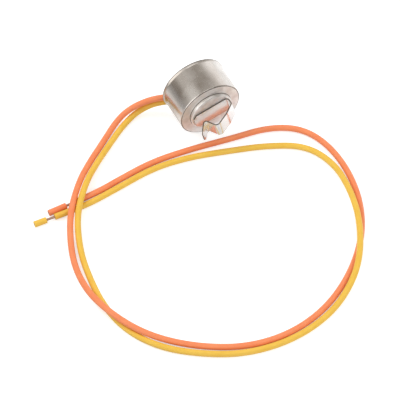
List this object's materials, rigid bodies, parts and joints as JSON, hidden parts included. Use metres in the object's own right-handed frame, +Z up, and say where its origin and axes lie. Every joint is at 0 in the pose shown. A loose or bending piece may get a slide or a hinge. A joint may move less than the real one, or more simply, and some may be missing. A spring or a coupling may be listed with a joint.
{
  "type": "defrost thermostat",
  "caption": "Round metal-cased snap switch on its side, with a formed spring clip for a tube on its face and loose stripped leads from its resin-filled rear.",
  "frame": {"origin": "on the surface that it lies on, under the middle of the can and its clip, without the leads", "axes": "+Z up from the surface, -Y out of the can's face towards the clip, +Y towards the resin and the lead exit"},
  "size_m": [0.1173, 0.1206, 0.0262],
  "materials": {
    "can_metal": "drawn and polished, faint drawing lines",
    "spring_steel": "bright rolled strip",
    "resin": "cast resin, slightly wavy",
    "jacket_orange": "smooth extruded PVC",
    "jacket_yellow": "smooth extruded PVC",
    "tinned_strand": "twisted strands",
    "brass_strip": "stamped strip",
    "spring_bronze": "rolled strip",
    "contact_silver": "satin silver",
    "moulding": "moulded phenolic",
    "pin_ceramic": "unglazed ceramic",
    "fibre": "vulcanised fibre"
  },
  "bodies": {
    "root": {"can_shell": "can_metal", "tube_clip": "spring_steel", "potting": "resin", "lead_orange": "jacket_orange", "slug_orange": "jacket_orange", "lead_yellow": "jacket_yellow", "slug_yellow": "jacket_yellow", "conductor_orange": "tinned_strand", "conductor_yellow": "tinned_strand", "core_orange": "tinned_strand", "core_yellow": "tinned_strand", "crimp_orange": "brass_strip", "crimp_yellow": "brass_strip", "bimetal_disc": "spring_steel", "disc_guide": "moulding", "transfer_pin": "pin_ceramic", "switch_base": "moulding", "contact_blade": "spring_bronze", "moving_contact": "contact_silver", "fixed_contact": "contact_silver", "blade_terminal": "brass_strip", "fixed_terminal": "brass_strip", "blade_rivet": "brass_strip", "fixed_rivet": "brass_strip", "chamber_cover": "fibre"}
  },
  "joints": []
}
